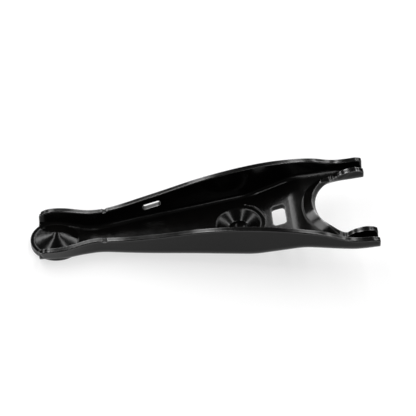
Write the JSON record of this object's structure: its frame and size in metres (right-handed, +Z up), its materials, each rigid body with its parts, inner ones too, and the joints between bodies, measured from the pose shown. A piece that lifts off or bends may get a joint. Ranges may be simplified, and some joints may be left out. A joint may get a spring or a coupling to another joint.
{
  "type": "clutch fork",
  "caption": "Pressed steel clutch release fork: U-channel lever with pushrod dome, pivot bowl, clip window and two channel-section fingers.",
  "frame": {"origin": "centre of the pivot ball seat", "axes": "+X towards the finger tips, +Y to the left, +Z up out of the open side of the channel, square to the surface it lies on"},
  "size_m": [0.2576, 0.0926, 0.0416],
  "materials": {
    "clutch_fork": "gloss black electrocoat"
  },
  "bodies": {
    "root": {"clutch_fork": "clutch_fork"}
  },
  "joints": []
}
